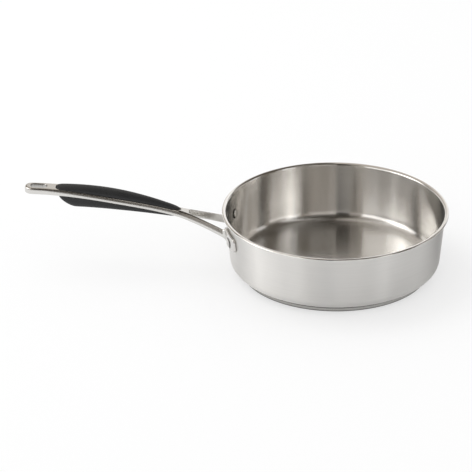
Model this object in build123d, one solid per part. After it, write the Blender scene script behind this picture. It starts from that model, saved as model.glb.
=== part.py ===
"""Saucier pan: a flared stainless vessel on a clad base, with a riveted forked handle.

Millimetres. The origin is the centre of the base's underside, where the pan
rests. +Z is up and the handle points along -X.
"""
from build123d import *
from math import asin, atan2, cos, degrees, hypot, pi, radians, sin, tan
import os

# Vessel
rim_diameter = 249.0
pan_height = 73.0
wall_thickness = 0.9
wall_taper_angle = 5.5
lip_radius = 9.0
lip_angle = 55.0
corner_radius = 13.0

# Clad base
base_height = 6.4
cap_thickness = 0.6
cap_margin = 0.6
cap_edge_radius = 1.6
cap_lip_gap = 0.2

# Handle frame, seen from the side
handle_length = 216.5
handle_rise = 39.7
handle_curve_share = 1.85
pad_drop = 21.5
tail_thickness = 8.4
grip_thickness = 6.9
leg_height = 9.6
thickness_fade_share = 4.0

# Handle frame, seen from above
tail_width = 16.8
grip_width = 21.6
waist_width = 13.2
leg_spread = 36.2
leg_thickness = 4.2
grip_share = 0.44
waist_share = 0.78
leg_curve_share = 1.3
fork_length = 35.2
crotch_radius = 5.0
frame_edge_radius = 1.8

# Hanging hole in the tail
hang_hole_length = 18.0
hang_hole_width = 9.6
hang_hole_setback = 15.5
hang_hole_edge = 0.8

# Riveted pads at the ends of the legs
pad_reach = 18.7
pad_width = 41.0
pad_height = 20.4
pad_thickness = 2.6
pad_corner_radius = 4.5
pad_edge_radius = 0.6

# Rivets
rivet_drop = 3.0
rivet_shank_radius = 3.0
rivet_head_radius = 5.8
rivet_head_height = 2.4

# Grips
grip_length = 137.0
grip_setback = 34.4
grip_margin = 1.1
grip_pocket = 1.2
crown_height = 5.3
crown_start = 0.3
crown_fade_share = 0.6
tail_round = 8.0
nose_round = 13.0
keel_length = 132.0
keel_setback = 36.0
keel_margin = 1.9
keel_depth = 14.5
keel_start = 0.5
keel_round = 22.0
keel_fade_share = 0.59

# Grip screws
screw_radius = 1.75
screw_head_radius = 3.2
screw_head_height = 2.2
screw_bearing = 2.0
screw_bite = 3.4
screw_shares = (0.22, 0.73)

# Clearances and cuts
seat_gap = 0.1
fit_gap = 0.1
side_overlap = 0.6
overrun = 20.0
small_share = 0.001
level_share = 0.5

rim_radius = rim_diameter / 2
pad_z = pan_height - pad_drop
rivet_z = pad_z - rivet_drop
root_x = -rim_radius
tail_x = root_x - handle_length
crotch_x = root_x - fork_length


def lathe(face):
    """A solid of revolution from a face drawn in the plane of X and Z."""
    return revolve(face, Axis.Z)


def outline(*edges):
    """A face in the plane of X and Z from edges drawn in X and Y."""
    return Plane.XZ * make_face(Curve() + list(edges))


# The wall's middle line, from the rim's edge down to the flat of the floor
taper = radians(wall_taper_angle)
flare = radians(lip_angle)
half_wall = wall_thickness / 2
rim_edge = (rim_radius - half_wall, pan_height - half_wall)
lip_centre = (rim_edge[0] + lip_radius * cos(flare), rim_edge[1] - lip_radius * sin(flare))
lip_foot = (lip_centre[0] - lip_radius * cos(taper), lip_centre[1] + lip_radius * sin(taper))
corner_middle_radius = corner_radius - half_wall
corner_z = base_height + corner_radius
corner_top_z = corner_z - corner_middle_radius * sin(taper)
corner_top_x = lip_foot[0] - (lip_foot[1] - corner_top_z) * tan(taper)
floor_radius = corner_top_x - corner_middle_radius * cos(taper)
corner_centre = (floor_radius, corner_z)


def wall_radius(z, away):
    """Radius of the tapered wall at height z, that far out from its middle line."""
    return corner_top_x + (z - corner_top_z) * tan(taper) + away / cos(taper)


# The pads and rivets face out of the wall beside the legs' ends
pad_turn = asin((leg_spread / 2 + pad_reach) / wall_radius(rivet_z, half_wall))


def sheet_line(away):
    """The vessel's section line, offset outwards from the middle of the sheet."""
    corner_r = corner_middle_radius + away
    lip_r = lip_radius - away
    floor_z = corner_z - corner_r
    wall_foot = (corner_centre[0] + corner_r * cos(taper), corner_z - corner_r * sin(taper))
    wall_head = (lip_centre[0] - lip_r * cos(taper), lip_centre[1] + lip_r * sin(taper))
    lip_tip = (lip_centre[0] - lip_r * cos(flare), lip_centre[1] + lip_r * sin(flare))
    corner_mid = (corner_centre[0] + corner_r * sin(pi / 4), corner_z - corner_r * cos(pi / 4))
    lip_mid_angle = (taper + flare) / 2
    lip_mid = (lip_centre[0] - lip_r * cos(lip_mid_angle), lip_centre[1] + lip_r * sin(lip_mid_angle))
    edges = [
        Line((0, floor_z), (floor_radius, floor_z)),
        ThreePointArc((floor_radius, floor_z), corner_mid, wall_foot),
        Line(wall_foot, wall_head),
        ThreePointArc(wall_head, lip_mid, lip_tip),
    ]
    return edges, (0, floor_z), lip_tip


def rivet_plane(side):
    """The seat of a rivet on the wall's outer face, with its normal pointing out."""
    out = (-cos(pad_turn), side * sin(pad_turn))
    radius = wall_radius(rivet_z, half_wall)
    normal = (out[0] * cos(taper), out[1] * cos(taper), -sin(taper))
    along = (-out[1], out[0], 0)
    return Plane(origin=(radius * out[0], radius * out[1], rivet_z), x_dir=along, z_dir=normal)


def rivet_hole(side):
    """The drilled hole that a rivet's shank passes through."""
    hole = Cylinder(rivet_shank_radius + fit_gap, overrun)
    return rivet_plane(side) * hole


def make_pan_shell():
    """The drawn vessel: flat floor, rounded corner, tapered wall and flared rim."""
    outer, outer_floor, outer_tip = sheet_line(half_wall)
    inner, inner_floor, inner_tip = sheet_line(-half_wall)
    tip_round = (rim_edge[0] + half_wall * sin(flare), rim_edge[1] + half_wall * cos(flare))
    edge = ThreePointArc(outer_tip, tip_round, inner_tip)
    axis_edge = Line(outer_floor, inner_floor)
    shell = lathe(outline(*outer, *inner, edge, axis_edge))
    for side in (-1, 1):
        shell -= rivet_hole(side)
    return shell


# The cap cups the core disc, and both lie under the vessel's flat floor
cap_radius = floor_radius + cap_margin


def make_base_cap():
    """The thin stainless cup round the core disc, with a rounded lower edge."""
    top = base_height - cap_lip_gap
    inner = cap_radius - cap_thickness
    bend = cap_radius - cap_edge_radius
    outer_mid = (bend + cap_edge_radius * sin(pi / 4), cap_edge_radius * (1 - cos(pi / 4)))
    inner_bend = cap_edge_radius - cap_thickness
    inner_mid = (bend + inner_bend * sin(pi / 4), cap_edge_radius - inner_bend * cos(pi / 4))
    return lathe(outline(
        Line((0, 0), (bend, 0)),
        ThreePointArc((bend, 0), outer_mid, (cap_radius, cap_edge_radius)),
        Line((cap_radius, cap_edge_radius), (cap_radius, top)),
        Line((cap_radius, top), (inner, top)),
        Line((inner, top), (inner, cap_edge_radius)),
        ThreePointArc((inner, cap_edge_radius), inner_mid, (bend, cap_thickness)),
        Line((bend, cap_thickness), (0, cap_thickness)),
        Line((0, cap_thickness), (0, 0)),
    ))


def make_core_disc():
    """The thick aluminium disc that spreads the heat, between cap and vessel."""
    disc = Cylinder(
        cap_radius - cap_thickness - fit_gap,
        base_height - cap_thickness,
        align=(Align.CENTER, Align.CENTER, Align.MIN),
    )
    disc = Pos(0, 0, cap_thickness) * disc
    lower_edge = disc.edges().group_by(Axis.Z)[0]
    return chamfer(lower_edge, cap_edge_radius - cap_thickness)


def along_handle(x):
    """Share of the handle's length at x: 0 at the tail's end, 1 at the rim."""
    return (x - tail_x) / handle_length


def ease(share):
    """A smooth step from 0 to 1."""
    share = min(max(share, 0), 1)
    return share * share * (3 - 2 * share)


def frame_top(x):
    """Height of the frame's upper face: a long curve that levels out at the tail."""
    rise = handle_rise * (1 - along_handle(x) ** handle_curve_share)
    return pad_z + leg_height / 2 + rise


def frame_bottom(x):
    """Height of the frame's lower face: the frame is slimmest under the grips."""
    share = along_handle(x)
    tail_part = (tail_thickness - grip_thickness) * (1 - share) ** thickness_fade_share
    leg_part = (leg_height - grip_thickness) * share ** thickness_fade_share
    return frame_top(x) - grip_thickness - tail_part - leg_part


def frame_half_width(x):
    """Half the frame's width: wide at the grip, a waist, then the spreading legs."""
    share = along_handle(x)
    if share < grip_share:
        width = tail_width + (grip_width - tail_width) * ease(share / grip_share)
        return width / 2
    if share < waist_share:
        reach = (share - grip_share) / (waist_share - grip_share)
        return (grip_width + (waist_width - grip_width) * ease(reach)) / 2
    reach = (share - waist_share) / (1 - waist_share)
    root_width = leg_spread + leg_thickness
    return (waist_width + (root_width - waist_width) * reach ** leg_curve_share) / 2


def frame_places(start, stop, count):
    """Evenly spaced places along the handle."""
    return [start + (stop - start) * step / (count - 1) for step in range(count)]


def wall_block(away):
    """Everything inside the straight part of the wall, grown outwards."""
    low = pad_z - pad_height
    high = pad_z + pad_height
    return lathe(outline(
        Polyline(
            (0, low),
            (wall_radius(low, away), low),
            (wall_radius(high, away), high),
            (0, high),
            (0, low),
        ),
    ))


def frame_bar():
    """The frame before its pads: the side view and the plan view, crossed."""
    front_x = -wall_radius(pad_z, 0) * cos(pad_turn)
    side_places = frame_places(tail_x, front_x, 12)
    side_face = outline(
        Spline([(x, frame_top(x)) for x in side_places]),
        Line((front_x, frame_top(front_x)), (front_x, frame_bottom(front_x))),
        Spline([(x, frame_bottom(x)) for x in side_places]),
        Line((tail_x, frame_top(tail_x)), (tail_x, frame_bottom(tail_x))),
    )
    side_block = extrude(side_face, rim_radius, both=True)
    tail_radius = tail_width / 2
    plan_places = frame_places(tail_x + tail_radius, front_x, 14)
    edge_points = [(x, frame_half_width(x)) for x in plan_places]
    edge_points[0] = (tail_x + tail_radius, tail_radius)
    upper = Spline(edge_points, tangents=[(1, 0), edge_direction(front_x)])
    lower = mirror(upper, Plane.XZ)
    tail_arc = ThreePointArc(
        (tail_x + tail_radius, tail_radius),
        (tail_x, 0),
        (tail_x + tail_radius, -tail_radius),
    )
    front = Line(upper @ 1, lower @ 1)
    plan_face = make_face(Curve() + [upper, lower, tail_arc, front])
    top_z = frame_top(tail_x)
    plan_block = extrude(plan_face, top_z + overrun)
    return side_block & plan_block


def edge_direction(x):
    """The direction of the plan's outer edge at x."""
    step = handle_length * small_share
    return (step, frame_half_width(x + step) - frame_half_width(x))


def fork_gap():
    """The open fork between the legs: a round crotch and two straight sides."""
    centre_x = crotch_x + crotch_radius
    root_y = (leg_spread - leg_thickness) / 2
    reach = hypot(root_x - centre_x, root_y)
    lean = atan2(root_y, root_x - centre_x) - asin(crotch_radius / reach)
    touch = (centre_x - crotch_radius * sin(lean), crotch_radius * cos(lean))
    far_x = root_x + overrun
    far = (far_x, touch[1] + (far_x - touch[0]) * tan(lean))
    face = make_face(Curve() + [
        ThreePointArc(touch, (crotch_x, 0), (touch[0], -touch[1])),
        Line((touch[0], -touch[1]), (far[0], -far[1])),
        Line((far[0], -far[1]), far),
        Line(far, touch),
    ])
    return extrude(face, frame_top(tail_x) + overrun)


# Corners of the pad, as shares of its half width away from the leg and its half height
pad_outline_shares = ((-1, -0.72), (-1, 0.6), (-0.45, 1), (1, 0.66), (1, -0.76), (-0.2, -1))


def make_pad(side):
    """One riveted pad: a plate with round corners, bent to the curve of the wall."""
    out = (-cos(pad_turn), side * sin(pad_turn), 0)
    corners = [
        (-side * across * pad_width / 2, up * pad_height / 2)
        for across, up in pad_outline_shares
    ]
    face = make_face(Polyline(*corners, close=True))
    face = fillet(face.vertices(), pad_corner_radius)
    plane = Plane(origin=(0, 0, pad_z), x_dir=(-out[1], out[0], 0), z_dir=out)
    inner = half_wall + seat_gap
    pad = extrude(plane * face, rim_radius) & (wall_block(inner + pad_thickness) - wall_block(inner))
    outer_edges = pad.faces().sort_by(Axis((0, 0, 0), out))[-1].edges()
    return fillet(outer_edges, pad_edge_radius)


# The seat of a rivet's head is spot-faced flat into the curved pad
head_sag = (rivet_head_radius + fit_gap) ** 2 / rim_diameter
pad_seat = seat_gap + pad_thickness - head_sag


def hang_hole():
    """The oval hole in the tail."""
    centre_x = tail_x + hang_hole_setback
    slot = SlotOverall(hang_hole_length, hang_hole_width)
    return Pos(centre_x, 0, 0) * extrude(slot, frame_top(tail_x) + overrun)


def hang_hole_edges(bar):
    """The edges round the two mouths of the hanging hole."""
    centre_x = tail_x + hang_hole_setback
    found = []
    for edge in bar.edges():
        middle = edge @ 0.5
        inside = abs(middle.X - centre_x) < hang_hole_length / 2 + fit_gap
        inside = inside and abs(middle.Y) < hang_hole_width / 2 + fit_gap
        if inside and abs((edge % 0.5).Z) < level_share:
            found.append(edge)
    return found


def grip_section(x, half_width, seat_z, edge_z, crown_z):
    """One upright section of a grip: a flat seat, short sides and a full crown."""
    plane = Plane(origin=(x, 0, 0), x_dir=(0, 1, 0), z_dir=(1, 0, 0))
    shoulder_y = half_width * crown_shoulder_shares[0]
    shoulder_z = edge_z + (crown_z - edge_z) * crown_shoulder_shares[1]
    seat = Polyline(
        (half_width, edge_z),
        (half_width, seat_z),
        (-half_width, seat_z),
        (-half_width, edge_z),
    )
    crown = Spline(
        (-half_width, edge_z),
        (-shoulder_y, shoulder_z),
        (0, crown_z),
        (shoulder_y, shoulder_z),
        (half_width, edge_z),
    )
    return plane * make_face(Curve() + [seat, crown])


def grip_plan(start_x, length, margin, gap):
    """A grip seen from above: it follows the frame's width and has rounded ends."""
    tail_end_x = start_x + tail_round
    nose_end_x = start_x + length - nose_round
    places = frame_places(tail_end_x, nose_end_x, 9)
    points = [(x, frame_half_width(x) - margin + gap) for x in places]
    upper = Spline(points)
    lower = mirror(upper, Plane.XZ)
    tail_arc = EllipticalCenterArc(
        (tail_end_x, 0),
        tail_round + gap,
        points[0][1],
        degrees(pi / 2),
        arc_size=degrees(pi),
    )
    nose_arc = EllipticalCenterArc(
        (nose_end_x, 0),
        nose_round + gap,
        points[-1][1],
        degrees(-pi / 2),
        arc_size=degrees(pi),
    )
    face = make_face(Curve() + [upper, lower, tail_arc, nose_arc])
    return extrude(face, frame_top(tail_x) + overrun)


# Where the grips' sections stand, and the shoulder of a section's crown
grip_place_shares = (0, 0.06, 0.16, 0.3, 0.45, 0.6, 0.75, 0.88, 0.96, 1)
keel_place_shares = (0, 0.05, 0.1, 0.16, 0.24, 0.35, 0.5, 0.65, 0.8, 0.9, 0.96, 1)
crown_shoulder_shares = (0.74, 0.76)


def upper_grip_block(gap):
    """The grip on top of the frame, grown by a gap where it sits in its pocket."""
    start_x = tail_x + grip_setback
    sections = []
    for share in grip_place_shares:
        x = start_x - gap + share * (grip_length + 2 * gap)
        half_width = frame_half_width(x) - grip_margin + side_overlap
        top = frame_top(x)
        crown = top + crown_start + crown_height * sin(pi * share) ** crown_fade_share
        sections.append(grip_section(x, half_width, top - grip_pocket - gap, top, crown))
    return loft(sections) & grip_plan(start_x, grip_length, grip_margin, gap)


def lower_grip_block(gap):
    """The keel under the frame, deepest near the tail and fading towards the pan."""
    start_x = tail_x + keel_setback
    sections = []
    for share in keel_place_shares:
        x = start_x - gap + share * (keel_length + 2 * gap)
        half_width = frame_half_width(x) - keel_margin + side_overlap
        bottom = frame_bottom(x)
        swell = 1 - (1 - min(share * keel_length / keel_round, 1)) ** 2
        crown = bottom - keel_start - keel_depth * (1 - share) ** keel_fade_share * swell
        sections.append(grip_section(x, half_width, bottom + grip_pocket + gap, bottom, crown))
    return loft(sections) & grip_plan(start_x, keel_length, keel_margin, gap)


def screw_places():
    """Where each grip screw stands: its x and the height of its head's bearing face."""
    places = []
    for share in screw_shares:
        x = tail_x + grip_setback + share * grip_length
        places.append((x, frame_bottom(x) - screw_bearing))
    return places


def upright(x, z, radius, height):
    """An upright cylinder whose lower end is at height z."""
    return Pos(x, 0, z) * Cylinder(radius, height, align=(Align.CENTER, Align.CENTER, Align.MIN))


def make_handle_frame():
    """The forked steel frame with its pads, pockets and holes."""
    bar = frame_bar()
    long_edges = bar.edges().filter_by(lambda edge: edge.bounding_box().size.X > tail_width / 4)
    bar = fillet(long_edges, frame_edge_radius)
    bar -= hang_hole()
    bar = chamfer(hang_hole_edges(bar), hang_hole_edge)
    bar -= fork_gap()
    bar -= wall_block(half_wall + seat_gap)
    frame = bar + make_pad(-1) + make_pad(1)
    frame -= upper_grip_block(fit_gap)
    frame -= lower_grip_block(fit_gap)
    for x, bearing_z in screw_places():
        frame -= upright(x, bearing_z, screw_radius + fit_gap, frame_top(x) - bearing_z)
    for side in (-1, 1):
        seat = rivet_plane(side)
        spot = Cylinder(
            rivet_head_radius + fit_gap,
            overrun,
            align=(Align.CENTER, Align.CENTER, Align.MIN),
        )
        frame -= seat * (Pos(0, 0, pad_seat) * spot)
        frame -= rivet_hole(side)
    return frame


def make_upper_grip():
    """The upper grip, with blind holes for the screws."""
    grip = upper_grip_block(0)
    for x, bearing_z in screw_places():
        depth = frame_top(x) + screw_bite - bearing_z
        grip -= upright(x, bearing_z, screw_radius + fit_gap, depth + fit_gap)
    return grip


def make_lower_grip():
    """The lower grip, bored for the screws from below."""
    grip = lower_grip_block(0)
    for x, bearing_z in screw_places():
        depth = frame_top(x) - bearing_z
        grip -= upright(x, bearing_z, screw_radius + fit_gap, depth)
        grip -= upright(x, bearing_z - keel_depth, screw_head_radius + fit_gap, keel_depth)
    return grip


def dome(radius, height):
    """A round head: a ball's cap standing on a flat face."""
    ball = (radius ** 2 + height ** 2) / (2 * height)
    half_turn = asin(radius / ball) / 2
    middle = (ball * sin(half_turn), height - ball + ball * cos(half_turn))
    return lathe(outline(
        Line((0, 0), (radius, 0)),
        ThreePointArc((radius, 0), middle, (0, height)),
        Line((0, height), (0, 0)),
    ))


def make_grip_screws():
    """The pan-head screws that clamp both grips to the frame."""
    screws = []
    for x, bearing_z in screw_places():
        shank = upright(x, bearing_z, screw_radius, frame_top(x) + screw_bite - bearing_z)
        head = dome(screw_head_radius, screw_head_height)
        screws.append(shank + Pos(x, 0, bearing_z) * (Rot(180, 0, 0) * head))
    return Compound(children=screws)


def make_handle_rivets():
    """The two rivets, each with a domed head outside and inside the wall."""
    inner_sag = rivet_head_radius ** 2 / (2 * wall_radius(rivet_z, -half_wall))
    inner_seat = -wall_thickness - inner_sag - seat_gap
    rivets = []
    for side in (-1, 1):
        seat = rivet_plane(side)
        shank = Pos(0, 0, inner_seat) * Cylinder(
            rivet_shank_radius,
            pad_seat - inner_seat,
            align=(Align.CENTER, Align.CENTER, Align.MIN),
        )
        head = dome(rivet_head_radius, rivet_head_height)
        outer_head = Pos(0, 0, pad_seat) * head
        inner_head = Pos(0, 0, inner_seat) * (Rot(180, 0, 0) * head)
        rivets.append(seat * (shank + outer_head + inner_head))
    return Compound(children=rivets)


def main():
    """Make every piece and write each to its own file."""
    pieces = {
        "pan_shell": make_pan_shell(),
        "core_disc": make_core_disc(),
        "base_cap": make_base_cap(),
        "handle_frame": make_handle_frame(),
        "upper_grip": make_upper_grip(),
        "lower_grip": make_lower_grip(),
        "handle_rivets": make_handle_rivets(),
        "grip_screws": make_grip_screws(),
    }
    os.makedirs("parts", exist_ok=True)
    for name, piece in pieces.items():
        export_step(piece, f"parts/{name}.step")


main()
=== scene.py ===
from math import asin, atan2, cos, hypot, pi, radians, sin, tan

import bpy
import numpy as np
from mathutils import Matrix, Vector


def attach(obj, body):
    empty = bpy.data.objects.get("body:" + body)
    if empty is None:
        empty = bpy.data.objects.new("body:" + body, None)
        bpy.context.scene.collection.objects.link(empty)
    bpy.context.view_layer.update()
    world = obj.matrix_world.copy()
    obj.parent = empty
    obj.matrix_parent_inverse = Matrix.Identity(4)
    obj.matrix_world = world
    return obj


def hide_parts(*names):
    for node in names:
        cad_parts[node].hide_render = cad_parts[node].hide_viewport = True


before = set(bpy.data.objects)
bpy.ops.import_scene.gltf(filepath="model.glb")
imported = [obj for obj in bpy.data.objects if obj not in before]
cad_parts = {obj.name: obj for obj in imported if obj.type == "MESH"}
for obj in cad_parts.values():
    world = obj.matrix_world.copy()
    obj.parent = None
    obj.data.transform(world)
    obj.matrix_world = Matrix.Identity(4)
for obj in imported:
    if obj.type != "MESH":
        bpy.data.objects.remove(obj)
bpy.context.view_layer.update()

MM = 0.001
# Small enough to count as nothing
tiny = 1e-9

# Sizes, in millimetres and degrees
rim_diameter = 249.0
pan_height = 73.0
wall_thickness = 0.9
wall_taper_angle = 5.5
lip_radius = 2.0
lip_angle = 78.0
lip_flat = 1.09
lip_roll_radius = 1.0
corner_radius = 13.0

base_height = 6.4
cap_thickness = 0.6
cap_margin = 0.6
cap_edge_radius = 1.6
cap_lip_gap = 0.2

handle_length = 216.5
handle_rise = 39.7
handle_curve_share = 1.85
pad_drop = 21.5
tail_thickness = 7.7
grip_thickness = 6.9
leg_height = 9.6
thickness_fade_share = 4.0

tail_width = 16.8
grip_width = 21.6
waist_width = 13.2
leg_spread = 36.2
leg_thickness = 4.2
grip_share = 0.44
waist_share = 0.78
leg_curve_share = 1.3
fork_length = 35.2
crotch_radius = 5.0

hang_hole_length = 18.0
hang_hole_width = 9.6
hang_hole_setback = 15.5

pad_reach = 18.7
pad_width = 41.0
pad_height = 20.4
pad_thickness = 2.6
pad_corner_radius = 4.5
pad_edge = 0.8
pad_fillet = 3.0

rivet_drop = 3.0
rivet_shank_radius = 3.0
rivet_head_radius = 5.8
rivet_head_height = 2.4

grip_length = 137.0
grip_setback = 34.4
grip_margin = 1.9
grip_pocket = 1.2
crown_height = 5.3
crown_start = 0.3
crown_fade_share = 0.6
crown_side_power = 2.6
crown_side_share = 0.55
crown_side_drop = 0.1
crown_edge = 1.3
tail_round = 8.0
nose_round = 13.0
keel_length = 132.0
keel_setback = 36.0
keel_margin = 1.9
keel_depth = 14.8
keel_start = 0.5
keel_round = 22.0
keel_fade_share = 0.72
keel_side_power = 2.4
keel_side_share = 0.42
keel_edge = 2.2
across_limit = 1.1

screw_radius = 1.75
screw_length = 5.0
screw_overlap = 0.5
screw_head_radius = 3.2
screw_head_height = 2.2
screw_head_inset = 0.1
screw_head_edge = 0.4
screw_bearing = 2.0
screw_shares = (0.22, 0.73)
recess_half_width = 0.45
recess_half_length = 1.75
recess_floor = 1.0
bore_edge = 0.5

seat_gap = 0.1
seat_margin = 0.1
fit_gap = 0.1
pocket_gap = 0.25
pocket_edge = 0.5

rim_radius = rim_diameter / 2
pad_z = pan_height - pad_drop
rivet_z = pad_z - rivet_drop
handle_top = pad_z + leg_height / 2 + handle_rise
root_x = -rim_radius
tail_x = root_x - handle_length
upper_x = tail_x + grip_setback
keel_x = tail_x + keel_setback
crotch_x = root_x - fork_length

taper = radians(wall_taper_angle)
flare = radians(lip_angle)
half_wall = wall_thickness / 2
# The lip bends out of the wall, runs nearly flat and curls down at its edge
roll_centre = (rim_radius - half_wall - lip_roll_radius, pan_height - half_wall - lip_roll_radius)
rim_edge = (rim_radius - half_wall, roll_centre[1])
lip_end = (roll_centre[0] - lip_roll_radius * cos(flare), roll_centre[1] + lip_roll_radius * sin(flare))
lip_bend = (lip_end[0] - lip_flat * sin(flare), lip_end[1] - lip_flat * cos(flare))
lip_centre = (lip_bend[0] + lip_radius * cos(flare), lip_bend[1] - lip_radius * sin(flare))
lip_foot = (lip_centre[0] - lip_radius * cos(taper), lip_centre[1] + lip_radius * sin(taper))
# The rounded corner between floor and wall, along the middle of the sheet
corner_middle_radius = corner_radius - half_wall
corner_z = base_height + corner_radius
corner_top_z = corner_z - corner_middle_radius * sin(taper)
corner_top_x = lip_foot[0] - (lip_foot[1] - corner_top_z) * tan(taper)
floor_radius = corner_top_x - corner_middle_radius * cos(taper)
cap_radius = floor_radius + cap_margin


def wall_radius(z, away):
    """Radius of the tapered wall at height z, that far out from its middle line."""
    return corner_top_x + (z - corner_top_z) * tan(taper) + away / cos(taper)


pad_turn = asin((leg_spread / 2 + pad_reach) / wall_radius(rivet_z, half_wall))


# Meshes
def mesh_object(name, points, faces):
    """A smooth-shaded object from points in millimetres."""
    mesh = bpy.data.meshes.new(name)
    places = [tuple(point) for point in np.asarray(points) * MM]
    mesh.from_pydata(places, [], [tuple(int(i) for i in face) for face in faces])
    mesh.validate()
    mesh.update()
    mesh.shade_smooth()
    piece = bpy.data.objects.new(name, mesh)
    bpy.context.scene.collection.objects.link(piece)
    return piece


def arc(centre, radius, start, stop, count):
    """Points on an arc in the plane of radius and height; angles in radians."""
    turns = np.linspace(start, stop, count)
    return [(centre[0] + radius * cos(turn), centre[1] + radius * sin(turn)) for turn in turns]


def line(start, stop, count):
    """Evenly spaced points on a line, without its last one."""
    return [
        (start[0] + (stop[0] - start[0]) * k / count, start[1] + (stop[1] - start[1]) * k / count)
        for k in range(count)
    ]


def lathe(name, profile, count):
    """A profile turned round Z; its points on the axis become poles."""
    points = []
    rings = []
    for radius, z in profile:
        if radius < tiny:
            rings.append([len(points)] * count)
            points.append((0, 0, z))
            continue
        start = len(points)
        for k in range(count):
            turn = 2 * pi * k / count
            points.append((radius * cos(turn), radius * sin(turn), z))
        rings.append(list(range(start, start + count)))
    faces = []
    for low, high in zip(rings, rings[1:]):
        for k in range(count):
            after = (k + 1) % count
            face = []
            for corner in (low[k], low[after], high[after], high[k]):
                if corner not in face:
                    face.append(corner)
            if len(face) > 2:
                faces.append(face)
    return mesh_object(name, points, faces)


# Fields are meshed on a grid that is worked out in blocks of this many steps
block = 6
block_reach = 1.5
blocks_at_once = 3000
settle_rounds = 4
slope_share = 0.02
least_square = 0.05


def places_in(counts):
    """Every place of a grid, as rows of three whole numbers."""
    return np.stack(np.meshgrid(*[np.arange(n) for n in counts], indexing="ij"), -1).reshape(-1, 3)


def field_values(field, low, high, step):
    """The field on a grid, worked out in full only in the blocks near the surface."""
    blocks = np.ceil((high - low) / step / block).astype(int) + 1
    corners = places_in(blocks) * block
    middles = field(low + step * (corners + (block - 1) / 2))
    values = middles.reshape(blocks).repeat(block, 0).repeat(block, 1).repeat(block, 2)
    near = corners[np.abs(middles) < step * block * block_reach]
    steps = places_in([block] * 3)
    for part in np.array_split(near, len(near) // blocks_at_once + 1):
        cells = (part[:, None] + steps).reshape(-1, 3)
        values[tuple(cells.T)] = field(low + step * cells)
    return values


def crossed_cells(values):
    """The grid's cells that the surface runs through: only some of their eight corners are inside."""
    inside = values < 0
    counts = values.shape
    corners = np.zeros([count - 1 for count in counts], np.int8)
    for i, j, k in places_in([2, 2, 2]):
        corners += inside[i:counts[0] - 1 + i, j:counts[1] - 1 + j, k:counts[2] - 1 + k]
    return (corners > 0) & (corners < 8)


def cell_points(values, cells):
    """In each cell, the middle of the places where the surface cuts its twelve edges."""
    total = np.zeros((len(cells), 3))
    hits = np.zeros(len(cells))
    for axis in range(3):
        for start in places_in([1 if other == axis else 2 for other in range(3)]):
            first = cells + start
            second = first.copy()
            second[:, axis] += 1
            here = values[tuple(first.T)]
            there = values[tuple(second.T)]
            cut = (here < 0) != (there < 0)
            place = first.astype(float)
            place[:, axis] += np.where(cut, here / np.where(cut, here - there, 1), 0)
            total[cut] += place[cut]
            hits[cut] += 1
    return total / hits[:, None]


def cell_quads(values, number, axis):
    """A quad round each edge along an axis that the surface cuts, from its four cells' numbers."""
    counts = values.shape
    u, v = [(1, 2), (2, 0), (0, 1)][axis]
    spans = [slice(0, count) for count in counts]
    spans[axis] = slice(0, counts[axis] - 1)
    here = values[tuple(spans)] < 0
    spans[axis] = slice(1, counts[axis])
    there = values[tuple(spans)] < 0
    quads = []
    for leaving in (True, False):
        spots = np.argwhere(here & ~there if leaving else ~here & there)
        good = (spots[:, u] > 0) & (spots[:, v] > 0)
        good &= (spots[:, u] < counts[u] - 1) & (spots[:, v] < counts[v] - 1)
        ring = []
        for back_u, back_v in ((1, 1), (0, 1), (0, 0), (1, 0)):
            cell = spots[good]
            cell[:, u] -= back_u
            cell[:, v] -= back_v
            ring.append(number[tuple(cell.T)])
        quads.append(np.stack(ring if leaving else ring[::-1], 1))
    return quads


def surface(field, low, high, step):
    """The surface where a field is zero: a point in each crossed cell, joined by quads."""
    low = np.array(low, float)
    values = field_values(field, low, np.array(high, float), step)
    crossed = crossed_cells(values)
    number = np.full(crossed.shape, -1, np.int64)
    number[crossed] = np.arange(crossed.sum())
    points = low + step * cell_points(values, np.argwhere(crossed))
    quads = [quad for axis in range(3) for quad in cell_quads(values, number, axis)]
    for _ in range(settle_rounds):
        points = points - step_to(field, points, step)
    return points, np.concatenate(quads)


def step_to(field, points, step):
    """How far each point is from the field's zero, along the field's slope."""
    small = step * slope_share
    slope = np.zeros_like(points)
    for axis in range(3):
        shift = np.zeros(3)
        shift[axis] = small
        slope[:, axis] = (field(points + shift) - field(points - shift)) / (2 * small)
    value = field(points)
    square = (slope ** 2).sum(1)
    move = (value / np.maximum(square, least_square))[:, None] * slope
    length = np.linalg.norm(move, axis=1)
    return move * (np.minimum(length, step / 2) / np.maximum(length, tiny))[:, None]


def round_max(a, b, radius):
    """Where two solids meet in both: the larger field, with a rounded edge."""
    u = np.maximum(radius + a, 0)
    v = np.maximum(radius + b, 0)
    return np.minimum(-radius, np.maximum(a, b)) + np.sqrt(u * u + v * v)


def round_min(a, b, radius):
    """Two solids joined, with a hollow fillet between them."""
    return -round_max(-a, -b, radius)


# Handle
def ease(share):
    """A smooth step from 0 to 1."""
    share = np.clip(share, 0, 1)
    return share * share * (3 - 2 * share)


def along_handle(x):
    """Share of the handle's length: 0 at the tail, 1 at the rim."""
    return (x - tail_x) / handle_length


def frame_top(x):
    """Height of the frame's upper line."""
    share = np.maximum(along_handle(x), 0)
    return handle_top - handle_rise * share ** handle_curve_share


def frame_bottom(x):
    """Height of the frame's lower line; the frame is thicker at the tail and in the legs."""
    share = np.clip(along_handle(x), 0, None)
    tail_part = (tail_thickness - grip_thickness) * np.maximum(1 - share, 0) ** thickness_fade_share
    leg_part = (leg_height - grip_thickness) * share ** thickness_fade_share
    return frame_top(x) - grip_thickness - tail_part - leg_part


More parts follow.
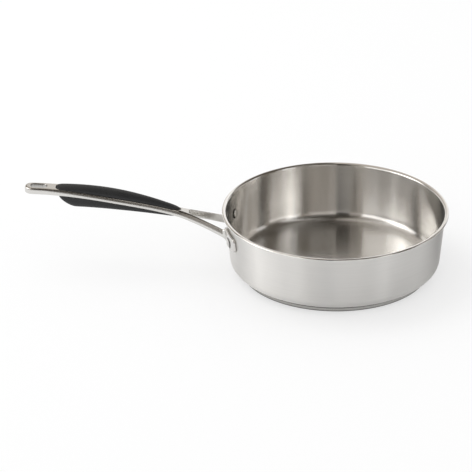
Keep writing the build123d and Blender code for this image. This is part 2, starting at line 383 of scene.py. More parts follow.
def frame_half_width(x):
    """Half the outline's width, from the tail over the grip and the waist to the legs."""
    share = along_handle(x)
    tail_half = tail_width + (grip_width - tail_width) * ease(share / grip_share)
    reach = (share - grip_share) / (waist_share - grip_share)
    waist_half = grip_width + (waist_width - grip_width) * ease(reach)
    reach = np.maximum((share - waist_share) / (1 - waist_share), 0)
    root_width = leg_spread + leg_thickness
    fork_half = waist_width + (root_width - waist_width) * reach ** leg_curve_share
    width = np.where(share < grip_share, tail_half, np.where(share < waist_share, waist_half, fork_half))
    return width / 2


def slope_of(curve, x):
    """Slope of a curve at x."""
    small = 0.05
    return (curve(x + small) - curve(x - small)) / (2 * small)


# Past its round crotch the fork opens along straight sides that lean outwards
fork_centre_x = crotch_x + crotch_radius
fork_root_y = (leg_spread - leg_thickness) / 2
fork_lean = atan2(fork_root_y, root_x - fork_centre_x) - asin(
    crotch_radius / hypot(root_x - fork_centre_x, fork_root_y)
)


def plan_field(x, y):
    """Distance outside the frame's plan outline, fork and hanging hole included."""
    y = np.abs(y)
    radius = tail_width / 2
    end_x = tail_x + radius
    side = (y - frame_half_width(x)) / np.sqrt(1 + slope_of(frame_half_width, x) ** 2)
    tail = np.hypot(x - end_x, y) - radius
    outer = np.where(x < end_x, tail, side)
    gap = crotch_radius - np.hypot(x - fork_centre_x, y)
    straight = crotch_radius + (x - fork_centre_x) * sin(fork_lean) - y * cos(fork_lean)
    ahead = (x - fork_centre_x) * cos(fork_lean) + y * sin(fork_lean) > 0
    gap = np.where(ahead, straight, gap)
    hole_x = tail_x + hang_hole_setback
    reach = (hang_hole_length - hang_hole_width) / 2
    hole = hang_hole_width / 2 - np.hypot(np.maximum(np.abs(x - hole_x) - reach, 0), y)
    return outer, gap, hole


side_limit = 1.2
facet_slope = 0.26
facet_blend = 0.25
facet_tail_start = 0.3
facet_start = -0.5
foot_bulge = 0.35
inner_share = 0.6
frame_edge = 1.5
inner_edge = 1.0
hole_edge = 0.9


def bar_field(points):
    """The frame's bar with faceted sides, its fork and its hanging hole, without the pads."""
    x, y, z = points.T
    outer, gap, hole = plan_field(x, y)
    top = frame_top(x)
    bottom = frame_bottom(x)
    lean = np.sqrt(1 + slope_of(frame_top, x) ** 2)
    middle = (top + bottom) / 2
    half = (top - bottom) / 2
    share = np.clip((z - middle) / half, -side_limit, side_limit)
    start = facet_tail_start + (facet_start - facet_tail_start) * ease(along_handle(x) / grip_share)
    facet = half * facet_slope * (share - start + np.sqrt((share - start) ** 2 + facet_blend ** 2)) / 2
    bulge = facet + foot_bulge * np.minimum(share, 0) ** 2
    slab = (np.abs(z - middle) - half) / lean
    solid = round_max(outer + bulge, slab, frame_edge)
    solid = round_max(solid, gap + bulge * inner_share, inner_edge)
    return round_max(solid, hole, hole_edge)


def polygon_field(u, v, corners):
    """Distance outside a closed outline of straight sides."""
    nearest = np.full(len(u), np.inf)
    sign = np.ones(len(u))
    for start, stop in zip(corners, corners[-1:] + corners[:-1]):
        side_u = stop[0] - start[0]
        side_v = stop[1] - start[1]
        from_u = u - start[0]
        from_v = v - start[1]
        share = np.clip((from_u * side_u + from_v * side_v) / (side_u ** 2 + side_v ** 2), 0, 1)
        nearest = np.minimum(nearest, (from_u - side_u * share) ** 2 + (from_v - side_v * share) ** 2)
        above = v >= start[1]
        below = v < stop[1]
        left = side_u * from_v > side_v * from_u
        crossed = (above & below & left) | (~above & ~below & ~left)
        sign = np.where(crossed, -sign, sign)
    return sign * np.sqrt(nearest)


# The pad's corners, as shares of half its width and half its height
pad_outline_shares = ((-1, -0.72), (-1, 0.6), (-0.45, 1), (0.84, 0.69), (0.84, -0.8), (-0.2, -1))
# How far the wall falls away from a flat seat under the rivet's head
head_sag = (rivet_head_radius + fit_gap) ** 2 / rim_diameter
pad_seat = seat_gap + pad_thickness - head_sag


def shrunk(corners, inset):
    """A convex outline moved inwards by an inset."""
    sides = list(zip(corners[-1:] + corners[:-1], corners))
    area = sum(start[0] * stop[1] - stop[0] * start[1] for start, stop in sides)
    turn = 1 if area > 0 else -1
    lines = []
    for start, stop in sides:
        length = hypot(stop[0] - start[0], stop[1] - start[1])
        inward = (-(stop[1] - start[1]) / length * turn, (stop[0] - start[0]) / length * turn)
        lines.append((inward, inward[0] * start[0] + inward[1] * start[1] + inset))
    result = []
    for (first, near), (second, far) in zip(lines, lines[1:] + lines[:1]):
        result.append(tuple(np.linalg.solve([first, second], [near, far])))
    return result


def off_wall(points):
    """How far a point stands off the pads' inner faces, square to the wall."""
    x, y, z = points.T
    face = wall_radius(z, half_wall) + seat_gap / cos(taper)
    return (np.hypot(x, y) - face) * cos(taper)


def pad_field(points):
    """The riveted pads; both sides are alike."""
    x, y, z = points.T
    across = np.abs(y) * cos(pad_turn) + x * sin(pad_turn)
    corners = [(share[0] * pad_width / 2, share[1] * pad_height / 2) for share in pad_outline_shares]
    rounded = polygon_field(across, z - pad_z, shrunk(corners, pad_corner_radius)) - pad_corner_radius
    middle = pad_thickness / 2
    return round_max(rounded, np.abs(off_wall(points) - middle) - middle, pad_edge)


def rivet_axis(side):
    """Where a rivet's axis meets the wall's outside, and its outward direction."""
    out = np.array([-cos(pad_turn), side * sin(pad_turn)])
    origin = np.array([*(wall_radius(rivet_z, half_wall) * out), rivet_z])
    return origin, np.array([*(cos(taper) * out), -sin(taper)])


def seat_field(points):
    """The metal taken away over the flat seats of the outer rivet heads."""
    x, y, z = points.T
    origin, normal = rivet_axis(1)
    offset = np.stack([x, np.abs(y), z], 1) - origin
    height = offset @ normal
    distance = np.linalg.norm(offset - height[:, None] * normal, axis=1)
    return np.minimum(rivet_head_radius + fit_gap + seat_margin - distance, height - pad_seat)


def grip_plan_field(x, y, start_x, length, margin, gap):
    """Distance outside a grip's plan outline, with its rounded ends."""
    y = np.abs(y)
    tail_end = start_x + tail_round
    nose_end = start_x + length - nose_round
    inner_x = np.clip(x, tail_end, nose_end)
    half = frame_half_width(inner_x) - margin + gap
    slope = slope_of(frame_half_width, inner_x)
    side = (y - half) / np.sqrt(1 + slope ** 2)
    reach = np.where(x < tail_end, tail_round + gap, nose_round + gap)
    along = (x - inner_x) / reach
    across = y / half
    share = np.hypot(along, across)
    steepness = np.hypot(along / reach, across / half)
    end = share * (share - 1) / np.maximum(steepness, tiny)
    return np.where((x < tail_end) | (x > nose_end), end, side)


def upper_crown(x, y):
    """Height of the upper grip's crown."""
    share = np.clip((x - upper_x) / grip_length, 0, 1)
    rise = crown_height * np.sin(pi * share) ** crown_fade_share
    half = frame_half_width(x) - grip_margin
    across = np.clip(np.abs(y) / half, 0, across_limit)
    fall = across ** crown_side_power * (rise * crown_side_share + crown_side_drop)
    return frame_top(x) + crown_start + rise - fall


def upper_grip_field(points):
    """The upper grip: flat underneath, crowned on top."""
    x, y, z = points.T
    plan = grip_plan_field(x, y, upper_x, grip_length, grip_margin, 0)
    upper = (z - upper_crown(x, y)) / np.sqrt(1 + slope_of(frame_top, x) ** 2)
    lower = frame_top(x) - grip_pocket - z
    solid = round_max(plan, upper, crown_edge)
    return np.maximum(solid, lower)


def upper_pocket_field(points):
    """The pocket that the upper grip sits in."""
    x, y, z = points.T
    plan = grip_plan_field(x, y, upper_x, grip_length, grip_margin, pocket_gap)
    return np.maximum(plan, frame_top(x) - grip_pocket - fit_gap - z)


def keel_bottom(x, y):
    """Height of the keel's underside, rounded across."""
    share = np.clip((x - keel_x) / keel_length, 0, 1)
    swell = 1 - (1 - np.minimum(share * keel_length / keel_round, 1)) ** 2
    depth = keel_depth * (1 - share) ** keel_fade_share * swell
    half = frame_half_width(x) - keel_margin
    across = np.clip(np.abs(y) / half, 0, across_limit)
    return frame_bottom(x) - keel_start - depth * (1 - keel_side_share * across ** keel_side_power)


def lower_grip_field(points):
    """The keel under the handle, without the counterbores for its screws."""
    x, y, z = points.T
    plan = grip_plan_field(x, y, keel_x, keel_length, keel_margin, 0)
    lower = keel_bottom(x, y) - z
    upper = z - frame_bottom(x) - grip_pocket
    lean = np.sqrt(1 + slope_of(lambda v: keel_bottom(v, y), x) ** 2)
    solid = round_max(plan, lower / lean, keel_edge)
    return np.maximum(solid, upper)


def lower_pocket_field(points):
    """The pocket that the keel sits in."""
    x, y, z = points.T
    plan = grip_plan_field(x, y, keel_x, keel_length, keel_margin, fit_gap)
    return np.maximum(plan, z - frame_bottom(x) - grip_pocket - fit_gap)


def frame_field(points):
    """The whole cast frame: bar and pads outside the wall, less the pockets and the seats."""
    solid = round_min(bar_field(points), pad_field(points), pad_fillet)
    solid = np.maximum(solid, -off_wall(points))
    solid = round_max(solid, -upper_pocket_field(points), pocket_edge)
    solid = round_max(solid, -lower_pocket_field(points), pocket_edge)
    return np.maximum(solid, seat_field(points))


screw_places = []
for share in screw_shares:
    screw_x = upper_x + share * grip_length
    screw_places.append((screw_x, float(frame_bottom(screw_x)) - screw_bearing))


def bored_keel_field(points):
    """The keel with the two counterbores for its screws."""
    solid = lower_grip_field(points)
    for place_x, bearing_z in screw_places:
        distance = np.hypot(points[:, 0] - place_x, points[:, 1])
        bore = np.minimum(screw_head_radius + fit_gap - distance, bearing_z - points[:, 2])
        solid = round_max(solid, bore, bore_edge)
    return solid


def screw_field(place_x, bearing_z):
    """The field of a screw with a pan head, a cross recess and a plain shank."""
    ball = (screw_head_radius ** 2 + screw_head_height ** 2) / (2 * screw_head_height)

    def field(points):
        """Distance outside the screw; its bearing face is at height 0."""
        x = points[:, 0] - place_x
        y = points[:, 1]
        z = points[:, 2] - bearing_z
        distance = np.hypot(x, y)
        head = np.hypot(distance, z - ball + screw_head_height) - ball
        head = round_max(head, distance - screw_head_radius + screw_head_inset, screw_head_edge)
        head = np.maximum(head, z)
        cross = np.minimum(
            np.maximum(np.abs(x) - recess_half_width, np.abs(y) - recess_half_length),
            np.maximum(np.abs(y) - recess_half_width, np.abs(x) - recess_half_length),
        )
        recess = np.maximum(cross, z + recess_floor)
        head = np.maximum(head, -recess)
        shank = np.maximum(distance - screw_radius, np.maximum(-z - screw_overlap, z - screw_length))
        return np.minimum(head, shank)

    return field


def field_piece(name, field, low, high, step):
    points, quads = surface(field, low, high, step * (1))
    return mesh_object(name, points, quads)


# Vessel and base
pan_sides = 384
groove_radii = (24.0, 40.0, 56.0, 72.0, 88.0)
groove_depth = 0.18
groove_half = 0.9
groove_points = 9
dimple_depth = 0.25
dimple_radius = 3.0
dimple_edge_radius = 4.0
cap_top = base_height - cap_lip_gap
cap_top_radius = 0.2
cap_side_heights = (2.6, 4.2, cap_top - 0.25)


def sheet_points(away):
    """The vessel's section line, from the floor's centre to the rim's edge."""
    bend_radius = corner_middle_radius + away
    floor_z = corner_z - bend_radius
    points = line((0, floor_z), (floor_radius, floor_z), count=18)
    points += arc((floor_radius, corner_z), bend_radius, -pi / 2, -taper, count=18)
    lip = arc(lip_centre, lip_radius - away, pi - taper, pi - flare, count=16)
    points += line(points[-1], lip[0], count=12)[1:]
    roll = arc(roll_centre, lip_roll_radius - away, pi - flare, 0, count=14)
    return points + lip + line(lip[-1], roll[0], count=4)[1:] + roll[1:]


def vessel_profile():
    """The vessel's section: out along its outside, round the rim's edge, back along its inside."""
    edge = arc(rim_edge, half_wall, -pi, 0, count=10)
    return sheet_points(half_wall)[:-1] + edge + sheet_points(-half_wall)[::-1][1:]


def underside():
    """The base's underside from its centre outwards, with shallow turned grooves."""
    points = [(0, dimple_depth), (dimple_radius, dimple_depth), (dimple_edge_radius, 0)]
    for radius in groove_radii:
        for share in np.linspace(-1, 1, groove_points):
            points.append((radius + groove_half * share, groove_depth * (1 - share ** 2)))
    return points


def cap_profile():
    """The base cap's section: underside, rounded edge, side, top edge, then back along its inside."""
    bend = (cap_radius - cap_edge_radius, cap_edge_radius)
    top_bend = (cap_radius - cap_top_radius, cap_top - cap_top_radius)
    inner = cap_radius - cap_thickness
    points = underside()
    points += arc(bend, cap_edge_radius, -pi / 2, 0, count=12)
    points += [(cap_radius, height) for height in cap_side_heights]
    points += arc(top_bend, cap_top_radius, 0, pi / 2, count=5)
    points += [(inner, cap_top), (inner, cap_edge_radius)]
    points += arc(bend, cap_edge_radius - cap_thickness, 0, -pi / 2, count=6)[1:]
    return points + [(0, cap_thickness)]


vessel = lathe("pan_vessel", vessel_profile(), pan_sides)
base = lathe("base_plate", cap_profile(), pan_sides)

# Handle pieces, each meshed in a box with a little room round it
pads_half_span = leg_spread / 2 + pad_reach + pad_width / 2
grip_half_width = grip_width / 2
frame_step = 0.45
grip_step = 0.5
screw_step = 0.2
screw_reach = screw_head_radius + 0.4
screw_box_bottom = screw_head_height + 0.5
screw_box_top = screw_length + 0.4

handle = field_piece(
    "handle_cast_frame",
    frame_field,
    (tail_x - 1.3, -pads_half_span - 1.0, pad_z - pad_height / 2 - 4.1),
    (root_x + pad_width / 2, pads_half_span + 1.1, handle_top + 1.2),
    frame_step,
)
upper = field_piece(
    "upper_grip_pad",
    upper_grip_field,
    (upper_x - 1.1, -grip_half_width - 0.5, pad_z + 10.6),
    (upper_x + grip_length + 1.2, grip_half_width + 0.6, handle_top + 7.0),
    grip_step,
)
lower = field_piece(
    "keel_grip_pad",
    bored_keel_field,
    (keel_x - 1.1, -grip_half_width - 0.5, pad_z + 3.6),
    (keel_x + keel_length + 1.2, grip_half_width + 0.6, handle_top - 3.0),
    grip_step,
)
screws = []
for count, (place_x, bearing_z) in enumerate(screw_places):
    screws.append(field_piece(
        f"grip_screw_{count + 1}",
        screw_field(place_x, bearing_z),
        (place_x - screw_reach, -screw_reach, bearing_z - screw_box_bottom),
        (place_x + screw_reach, screw_reach, bearing_z + screw_box_top),
        screw_step,
    ))


# Rivets
rivet_sides = 64
dome_points = 16


def dome_arc(radius, height, seat, up):
    """A domed head's outline from its rim to its top; up is -1 for a head that points down."""
    ball = (radius ** 2 + height ** 2) / (2 * height)
    start = asin(radius / ball)
    return [
        (ball * sin(turn), seat + up * (height - ball + ball * cos(turn)))
        for turn in np.linspace(start, 0, dome_points)
    ]


def rivet_profile():
    """A rivet's section, with its heights measured outwards from the wall's outside."""
    inner_sag = rivet_head_radius ** 2 / (2 * wall_radius(rivet_z, -half_wall))
    inner_seat = -wall_thickness - inner_sag - seat_gap
    points = dome_arc(rivet_head_radius, rivet_head_height, inner_seat, up=-1)[::-1]
    points += [(rivet_shank_radius, inner_seat), (rivet_shank_radius, pad_seat)]
    return points + dome_arc(rivet_head_radius, rivet_head_height, pad_seat, up=1)


def set_on_wall(rivet, side):
    """Turns and moves a rivet from the Z axis to its own axis through the wall."""
    origin, normal = rivet_axis(side)
    along = np.array([-origin[1], origin[0], 0]) / hypot(origin[0], origin[1])
    across = np.cross(normal, along)
    spots = np.empty(len(rivet.data.vertices) * 3)
    rivet.data.vertices.foreach_get("co", spots)
    spots = origin * MM + spots.reshape(-1, 3) @ np.stack([along, across, normal])
    rivet.data.vertices.foreach_set("co", spots.ravel())
    rivet.data.update()


rivets = []
for side, word in ((-1, "near"), (1, "far")):
    rivet = lathe(f"rivet_{word}", rivet_profile(), rivet_sides)
    set_on_wall(rivet, side)
    rivets.append(rivet)


# Shader nodes
def put(tree, kind, **settings):
    """A new node with its settings."""
    made = tree.nodes.new(kind)
    for key, value in settings.items():
        setattr(made, key, value)
    return made


def feed(tree, socket, value):
    """Joins a socket to another one, or sets it to a number or colour."""
    if isinstance(value, bpy.types.NodeSocket):
        tree.links.new(value, socket)
    else:
        socket.default_value = value


def maths(tree, operation, *values):
    """The result of arithmetic on sockets and numbers."""
    made = put(tree, "ShaderNodeMath", operation=operation)
    for socket, value in zip(made.inputs, values):
        feed(tree, socket, value)
    return made.outputs[0]


def vectors(tree, operation, *values, result="Vector"):
    """The result of arithmetic on vectors."""
    made = put(tree, "ShaderNodeVectorMath", operation=operation)
    for socket, value in zip(made.inputs, values):
        feed(tree, socket, value)
    return made.outputs[result]


def weighed(tree, first, second, share):
    """Two values added, the first by its share and the second by the rest."""
    second = maths(tree, "MULTIPLY", second, 1 - share)
    return maths(tree, "ADD", maths(tree, "MULTIPLY", first, share), second)


def object_place(tree):
    """The shaded point, in metres."""
    return put(tree, "ShaderNodeTexCoord").outputs["Object"]


def split(tree, vector):
    """A vector's x, y and z."""
    made = put(tree, "ShaderNodeSeparateXYZ")
    feed(tree, made.inputs[0], vector)
    return made.outputs


def flat_length(tree, x, y):
    """The length of the flat vector x, y."""
    square = maths(tree, "ADD", maths(tree, "POWER", x, 2.0), maths(tree, "POWER", y, 2.0))
    return maths(tree, "SQRT", square)


def ranged(tree, value, low, high, start=0.0, stop=1.0, kind="LINEAR"):
    """A value that runs from start to stop, spread between low and high."""
    made = put(tree, "ShaderNodeMapRange", interpolation_type=kind)
    feed(tree, made.inputs["Value"], value)
    made.inputs["From Min"].default_value = start
    made.inputs["From Max"].default_value = stop
    made.inputs["To Min"].default_value = low
    made.inputs["To Max"].default_value = high
    return made.outputs["Result"]


def mixed(tree, share, first, second, blend="MIX"):
    """A share of the second colour laid over the first."""
    made = put(tree, "ShaderNodeMix", data_type="RGBA", blend_type=blend)
    feed(tree, made.inputs["Factor"], share)
    feed(tree, made.inputs[6], first)
    feed(tree, made.inputs[7], second)
    return made.outputs[2]


def ramp(tree, value, stops, kind="LINEAR"):
    """Colours that follow a value, from pairs of a place between 0 and 1 and a colour."""
    made = put(tree, "ShaderNodeValToRGB")
    feed(tree, made.inputs[0], value)
    made.color_ramp.interpolation = kind
    while len(made.color_ramp.elements) < len(stops):
        made.color_ramp.elements.new(0.5)
    for element, (place, colour) in zip(made.color_ramp.elements, stops):
        element.position = place
        element.color = colour
    return made.outputs[0]


def grey(level):
    """A grey as a colour."""
    return (level, level, level, 1)


def grey_ramp(tree, distance, reach, stops):
    """A grey that follows a distance up to a reach, from pairs of millimetres and grey."""
    share = maths(tree, "DIVIDE", distance, reach * MM)
    return ramp(tree, share, [(place / reach, grey(level)) for place, level in stops])


def noise(tree, vector, scale, detail, w=None):
    """A noise pattern from 0 to 1, in four dimensions when it's given w."""
    made = put(tree, "ShaderNodeTexNoise", noise_dimensions="3D" if w is None else "4D")
    feed(tree, made.inputs["Vector"], vector)
    if w is not None:
        feed(tree, made.inputs["W"], w)
    made.inputs["Scale"].default_value = scale
    made.inputs["Detail"].default_value = detail
    return made.outputs["Fac"]


least_radius = 0.0001


def turned_lines(tree, spacing, length):
    """Fine lines that run round the Z axis, with their spacing in metres and length in radians."""
    x, y, z = split(tree, object_place(tree))
    radius = maths(tree, "MAXIMUM", flat_length(tree, x, y), least_radius)
    joined = put(tree, "ShaderNodeCombineXYZ")
    feed(tree, joined.inputs[0], maths(tree, "DIVIDE", radius, spacing))
    feed(tree, joined.inputs[1], maths(tree, "DIVIDE", maths(tree, "DIVIDE", x, radius), length))
    feed(tree, joined.inputs[2], maths(tree, "DIVIDE", maths(tree, "DIVIDE", y, radius), length))
    return noise(tree, joined.outputs[0], scale=1.0, detail=2.0, w=maths(tree, "DIVIDE", z, spacing))


def bump(tree, shader, height, strength, distance):
    """Gives a shader a bumpy surface that follows a height."""
    made = put(tree, "ShaderNodeBump")
    made.inputs["Strength"].default_value = strength
    made.inputs["Distance"].default_value = distance
    feed(tree, made.inputs["Height"], height)
    feed(tree, shader.inputs["Normal"], made.outputs[0])


def blank(name, colour, metallic, roughness):
    """A new material, with its tree and its shader."""
    made = bpy.data.materials.new(name)
    made.use_nodes = True
    tree = made.node_tree
    shader = tree.nodes["Principled BSDF"]
    shader.inputs["Base Color"].default_value = (*colour, 1)
    shader.inputs["Metallic"].default_value = metallic
    shader.inputs["Roughness"].default_value = roughness
    return made, tree, shader


# Materials
# Painted shade inside the hanging hole: how grey it gets, and where it fades out
hole_painted_shade_grey = 0.7
hole_fade_start = 0.15
hole_fade_stop = 0.45
lines_rough_spread = 0.03
clouds_rough_below = 0.06
clouds_rough_above = 0.08
rivet_reach = 10.0


def outer_share(tree):
    """1 where the surface faces away from the pan's axis, 0 where it faces it or lies flat."""
    place = put(tree, "ShaderNodeTexCoord")
    flat = vectors(tree, "MULTIPLY", place.outputs["Object"], (1, 1, 0))
    outward = vectors(tree, "NORMALIZE", flat)
    facing = vectors(tree, "DOT_PRODUCT", outward, place.outputs["Normal"], result="Value")
    return ranged(tree, facing, low=0.0, high=1.0, start=0.2, stop=0.6)


def brushed_steel(name, dark, light, rough, outer_rough, anisotropy, stops, polish):
    """Stainless steel with fine lines that run round the pan, and a grey that follows the height and
    paints light and shade: a painted highlight on the lip, painted shade at the base's bottom edge, and a
    dark joint with painted shade under the vessel's corner.

    The stops, for the painted light and shade, and the polish are pairs of a height and a share of the
    colour or the roughness.
    """
    made, tree, shader = blank(name, light, 1.0, rough)
    height = split(tree, object_place(tree))[2]
    fine = turned_lines(tree, spacing=0.0004, length=0.35)
    broad = turned_lines(tree, spacing=0.0022, length=0.6)
    lines = weighed(tree, fine, broad, share=0.65)
    colour = mixed(tree, lines, (*dark, 1), (*light, 1))
    # Painted light and shade that follow the height
    shade = grey_ramp(tree, height, pan_height, stops)
    feed(tree, shader.inputs["Base Color"], mixed(tree, 1.0, colour, shade, blend="MULTIPLY"))
    grain = ranged(tree, lines, low=rough - lines_rough_spread, high=rough + lines_rough_spread)
    side = ranged(tree, outer_share(tree), low=1.0, high=outer_rough / rough)
    grain = maths(tree, "MULTIPLY", grain, side)
    grain = maths(tree, "MULTIPLY", grain, grey_ramp(tree, height, pan_height, polish))
    feed(tree, shader.inputs["Roughness"], grain)
    shader.inputs["Anisotropic"].default_value = anisotropy
    shader.inputs["Anisotropic Rotation"].default_value = 0.25
    tangent = put(tree, "ShaderNodeTangent", direction_type="RADIAL", axis="Z")
    feed(tree, shader.inputs["Tangent"], tangent.outputs[0])
    bump(tree, shader, broad, strength=0.012, distance=0.00004)
    return made


def hole_painted_shade(tree, place):
    """Painted shade: grey inside the hanging hole; white everywhere else."""
    x, y = split(tree, place)[:2]
    along = maths(tree, "SUBTRACT", x, (tail_x + hang_hole_setback) * MM)
    along = maths(tree, "ABSOLUTE", along)
    reach = (hang_hole_length - hang_hole_width) / 2 * MM
    beyond = maths(tree, "MAXIMUM", maths(tree, "SUBTRACT", along, reach), 0.0)
    distance = flat_length(tree, beyond, y)
    start = (hang_hole_width / 2 + hole_fade_start) * MM
    stop = (hang_hole_width / 2 + hole_fade_stop) * MM
    return ranged(tree, distance, low=hole_painted_shade_grey, high=1.0, start=start, stop=stop)


def rivet_painted_shade(tree, place, stops):
    """Painted shade: a grey by distance from the rivets' axes, from pairs of millimetres and grey."""
    origin, normal = rivet_axis(1)
    mirrored = vectors(tree, "ABSOLUTE", place)
    shifted = vectors(tree, "SUBTRACT", mirrored, tuple(np.abs(origin) * MM))
    crossed = vectors(tree, "CROSS_PRODUCT", shifted, (abs(normal[0]), normal[1], normal[2]))
    distance = vectors(tree, "LENGTH", crossed, result="Value")
    return grey_ramp(tree, distance, rivet_reach, stops)


def polished_steel(name, dark, light, rough, rivet_painted_shade_stops):
    """Steel or aluminium, buffed bright, with faint cloudy marks, and painted shade in the hanging hole
    and round the rivets.
    """
    made, tree, shader = blank(name, light, 1.0, rough)
    place = object_place(tree)
    clouds = noise(tree, place, scale=60.0, detail=4.0)
    marks = noise(tree, place, scale=900.0, detail=3.0)
    both = weighed(tree, clouds, marks, share=0.6)
    colour = mixed(tree, both, (*dark, 1), (*light, 1))
    # Painted shade in the hanging hole and round the rivets
    shade = maths(tree, "MULTIPLY", hole_painted_shade(tree, place), rivet_painted_shade(tree, place, rivet_painted_shade_stops))
    feed(tree, shader.inputs["Base Color"], mixed(tree, 1.0, colour, shade, blend="MULTIPLY"))
    grain = ranged(tree, both, low=rough - clouds_rough_below, high=rough + clouds_rough_above)
    feed(tree, shader.inputs["Roughness"], grain)
    bump(tree, shader, marks, strength=0.05, distance=0.00003)
    return made


def soft_touch(name, dark, light):
    """Matte soft-touch rubber with a fine moulded grain."""
    made, tree, shader = blank(name, light, metallic=0.0, roughness=0.55)
    place = object_place(tree)
    grain = noise(tree, place, scale=2600.0, detail=3.0)
    clouds = noise(tree, place, scale=45.0, detail=3.0)
    feed(tree, shader.inputs["Base Color"], mixed(tree, clouds, (*dark, 1), (*light, 1)))
    feed(tree, shader.inputs["Roughness"], ranged(tree, clouds, low=0.48, high=0.62))
    shader.inputs["Specular IOR Level"].default_value = 0.4
    bump(tree, shader, grain, strength=0.25, distance=0.00006)
    return made


vessel_steel = brushed_steel(
    "vessel_steel",
    dark=(0.73, 0.72, 0.7),
    light=(0.84, 0.83, 0.81),
    rough=0.2,
    outer_rough=0.34,
    anisotropy=1.0,
    # Painted highlight: the lip is a tenth brighter above 70.8 mm
    stops=((0.0, 1.0), (70.0, 1.0), (70.8, 1.1)),
    polish=((0.0, 1.0), (70.3, 1.0), (71.5, 0.6)),
)
base_steel = brushed_steel(
    "base_steel",
    dark=(0.58, 0.57, 0.55),
    light=(0.66, 0.65, 0.63),
    rough=0.22,
    outer_rough=0.22,
    anisotropy=0.6,
    # Painted shade: darker over the bottom 1.3 mm, for the shadow where the base meets the floor, and
    # from 4.3 mm up, a dark joint line with painted shade under the vessel's corner
    stops=((0.0, 0.7), (0.1, 0.35), (1.3, 0.35), (1.7, 1.0), (3.9, 1.0), (4.3, 0.3)),
    polish=((0.0, 1.0), (1.0, 1.0), (1.8, 0.6)),
)
cast_dark = (0.64, 0.625, 0.6)
cast_light = (0.74, 0.73, 0.71)
# Painted shade: the pads darken within 6.3 mm of each rivet's axis, round the heads, and the heads darken
# past 4.8 mm, at their rims
frame_painted_shade_stops = ((0.0, 0.35), (6.3, 0.35), (7.0, 1.0))
rivet_painted_shade_stops = ((0.0, 1.0), (4.2, 1.0), (4.8, 0.25))
even_stops = ((0.0, 1.0), (rivet_reach, 1.0))
handle_steel = polished_steel("handle_steel", cast_dark, cast_light, 0.16, frame_painted_shade_stops)
rivet_steel = polished_steel("rivet_steel", cast_dark, cast_light, 0.14, rivet_painted_shade_stops)
screw_steel = polished_steel("screw_steel", (0.5, 0.5, 0.5), (0.6, 0.6, 0.6), 0.3, even_stops)
core_aluminium = polished_steel("core_aluminium", (0.74, 0.74, 0.74), (0.82, 0.82, 0.82), 0.4, even_stops)
grip_black = soft_touch("grip_black", dark=(0.012, 0.0125, 0.0135), light=(0.02, 0.0205, 0.0215))


def finish_piece(piece, material, slot, *nodes):
    """Gives a piece its material and body, and hides the CAD nodes it stands for; slot is not used."""
    piece.data.materials.append(material)
    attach(piece, "root")
    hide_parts(*nodes)


finish_piece(vessel, vessel_steel, "vessel_steel", "pan_shell")
finish_piece(base, base_steel, "base_steel", "base_cap")
finish_piece(handle, handle_steel, "handle_steel", "handle_frame")
finish_piece(upper, grip_black, "grip_black", "upper_grip")
finish_piece(lower, grip_black, "grip_black", "lower_grip")
for rivet in rivets:
    finish_piece(rivet, rivet_steel, "rivet_steel", "handle_rivets")
for screw in screws:
    finish_piece(screw, screw_steel, "screw_steel", "grip_screws")
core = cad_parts["core_disc"]
core.data.materials.clear()
core.data.materials.append(core_aluminium)


# Studio
def emptied(data):
    """The node tree of a material or world, without any nodes."""
    data.use_nodes = True
    data.node_tree.nodes.clear()
    return data.node_tree


def glow(tree, colour, strength):
    """A shader that glows by itself."""
    made = put(tree, "ShaderNodeEmission")
    feed(tree, made.inputs["Color"], colour)
    made.inputs["Strength"].default_value = strength
    return made.outputs[0]


def shader_mix(tree, share, first, second):
    """Two shaders mixed by a share."""
    made = put(tree, "ShaderNodeMixShader")
    for socket, value in zip(made.inputs, (share, first, second)):
        feed(tree, socket, value)
    return made.outputs[0]


def turn_share(tree):
    """The turn round the pan: 0 and 1 behind it, 0.5 in front, and more on the handle's side."""
    x, y = split(tree, object_place(tree))[:2]
    turn = maths(tree, "ARCTAN2", maths(tree, "MULTIPLY", x, -1.0), maths(tree, "MULTIPLY", y, -1.0))
    return maths(tree, "ADD", maths(tree, "DIVIDE", turn, 2 * pi), 0.5)


floor_half = 12000.0
floor_gap = 0.1
floor_grey = 0.86
floor_glow_seen = 0.6
floor_glow_mirrored = 0.1
# Painted shade on the floor's reflection in the metal, by turn round the pan
floor_reflection_shade_stops = ((0.06, 0.0), (0.12, 0.5), (0.2, 0.5), (0.26, 0.2), (0.34, 0.0))


def floor_paint():
    """White paper with a glow of its own; in the metal, painted shade darkens the reflection of its right
    side.
    """
    made = bpy.data.materials.new("floor_paint")
    tree = emptied(made)
    path = put(tree, "ShaderNodeLightPath").outputs
    mirrored = maths(tree, "MULTIPLY", path["Is Glossy Ray"], floor_glow_mirrored)
    seen = maths(tree, "MULTIPLY", path["Is Camera Ray"], floor_glow_seen)
    paper = put(tree, "ShaderNodeBsdfDiffuse")
    paper.inputs["Color"].default_value = grey(floor_grey)
    lit = shader_mix(tree, maths(tree, "ADD", seen, mirrored), paper.outputs[0], glow(tree, grey(1), 1.0))
    # Painted reflection shade: in the metal, the floor darkens on its right side
    painted_reflection_shade = ramp(tree, turn_share(tree), [(place, grey(level)) for place, level in floor_reflection_shade_stops])
    painted_reflection_shade = maths(tree, "MULTIPLY", path["Is Glossy Ray"], painted_reflection_shade)
    with_painted_reflection = shader_mix(tree, painted_reflection_shade, lit, glow(tree, grey(1), 0.0))
    output = put(tree, "ShaderNodeOutputMaterial")
    feed(tree, output.inputs["Surface"], with_painted_reflection)
    return made


floor_corners = [
    (-floor_half, -floor_half, -floor_gap),
    (floor_half, -floor_half, -floor_gap),
    (floor_half, floor_half, -floor_gap),
    (-floor_half, floor_half, -floor_gap),
]
floor = mesh_object("floor", floor_corners, [(0, 1, 2, 3)])
floor.data.materials.append(floor_paint())

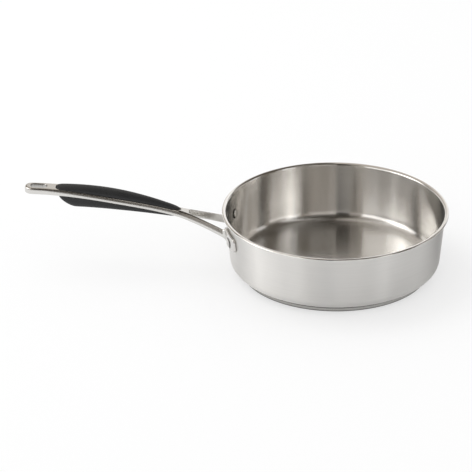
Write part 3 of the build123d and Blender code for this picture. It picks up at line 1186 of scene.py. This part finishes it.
scene = bpy.context.scene
scene.world = bpy.data.worlds.new("studio")
world_tree = emptied(scene.world)
background = put(world_tree, "ShaderNodeBackground")
background.inputs["Color"].default_value = grey(1)
background.inputs["Strength"].default_value = 1.0
feed(world_tree, put(world_tree, "ShaderNodeOutputWorld").inputs["Surface"], background.outputs[0])

# Soft panels and dark cards stand in three rows round the studio, and show only in the metal.
# A row gives the degrees of turn where each panel starts, and its level. The turn is 0 on the
# photographer's side and grows towards the handle.
surround_radius = 3000.0
surround_sides = 96
# Dark cards stand at the front and bright walls behind the pan and past the handle
ground_row = ((-180, 1.1), (-135, 0.1), (15, 0.2), (75, 1.2))
# Windows to the left of the photographer, and narrower ones between cards on the right
low_row = (
    (-180, 1.0), (-150, 0.1), (-135, 0.6), (-105, 1.0), (-90, 0.2), (-60, 1.2), (-45, 0.4),
    (-30, 0.7), (0, 0.0), (15, 0.5), (30, 2.0), (60, 3.0), (75, 4.0), (90, 2.0), (105, 0.0),
    (120, 0.4), (165, 0.8),
)
# A dim ceiling with one lamp on each side
high_row = ((-180, 0.1), (-75, 0.9), (-60, 0.05), (30, 0.3), (75, 1.0), (90, 0.5))
# Each row takes over from the one below between two shares of the studio's height
low_rise = (0.18, 0.24)
high_rise = (0.54, 0.61)


# The dark cards are warm brown, the bright panels nearly white
card_tint = (1.0, 0.86, 0.7)
panel_tint = (1.0, 0.98, 0.96)


def panel_colour(level):
    """A panel's colour, from its level of brightness."""
    share = min(level, 1.0)
    tint = [dark + (bright - dark) * share for dark, bright in zip(card_tint, panel_tint)]
    return (*[level * part for part in tint], 1)


def panels(tree, row):
    """The colours of one row of panels."""
    stops = [(start / 360 + 0.5, panel_colour(level)) for start, level in row]
    return ramp(tree, turn_share(tree), stops, kind="CONSTANT")


def surround_paint():
    """The glow of the three rows of panels, one over the other."""
    made = bpy.data.materials.new("surround_paint")
    tree = emptied(made)
    height = maths(tree, "DIVIDE", split(tree, object_place(tree))[2], surround_radius * MM)
    colour = panels(tree, ground_row)
    for row, (start, stop) in ((low_row, low_rise), (high_row, high_rise)):
        risen = ranged(tree, height, low=0.0, high=1.0, start=start, stop=stop, kind="SMOOTHSTEP")
        colour = mixed(tree, risen, colour, panels(tree, row))
    output = put(tree, "ShaderNodeOutputMaterial")
    feed(tree, output.inputs["Surface"], glow(tree, colour, 1.0))
    return made


surround_arc = arc((0, 0), surround_radius, 0, pi / 2, count=24)
surround = lathe("studio_surround", surround_arc, surround_sides)
surround.data.materials.append(surround_paint())
surround.visible_camera = False
surround.visible_diffuse = False
surround.visible_shadow = False


def area_lamp(name, place, aim, size, power):
    """A square soft lamp aimed at a point."""
    lamp = bpy.data.lights.new(name, "AREA")
    lamp.shape = "SQUARE"
    lamp.size = size
    lamp.energy = power
    holder = bpy.data.objects.new(name, lamp)
    bpy.context.scene.collection.objects.link(holder)
    holder.location = place
    holder.rotation_euler = (Vector(aim) - Vector(place)).to_track_quat("-Z", "Y").to_euler()
    return holder


key_lamp = area_lamp("key_lamp", place=(-1.4, 0.5, 2.2), aim=(0, 0, 0), size=1.6, power=14)
key_lamp.visible_glossy = False

# Camera
view_turn = radians(2.523)
view_elevation = radians(25.923)
view_distance = 4.4027
view_aim = (-0.1089, 0, 0.0386)
camera_data = bpy.data.cameras.new("camera")
camera_data.sensor_width = 36
camera_data.lens = 305.1
camera_data.clip_end = 60
camera = bpy.data.objects.new("camera", camera_data)
bpy.context.scene.collection.objects.link(camera)
camera.location = (
    view_aim[0] + view_distance * cos(view_elevation) * sin(view_turn),
    view_aim[1] - view_distance * cos(view_elevation) * cos(view_turn),
    view_aim[2] + view_distance * sin(view_elevation),
)
camera.rotation_euler = (pi / 2 - view_elevation, 0, view_turn)
scene.camera = camera
scene.view_settings.view_transform = "Standard"
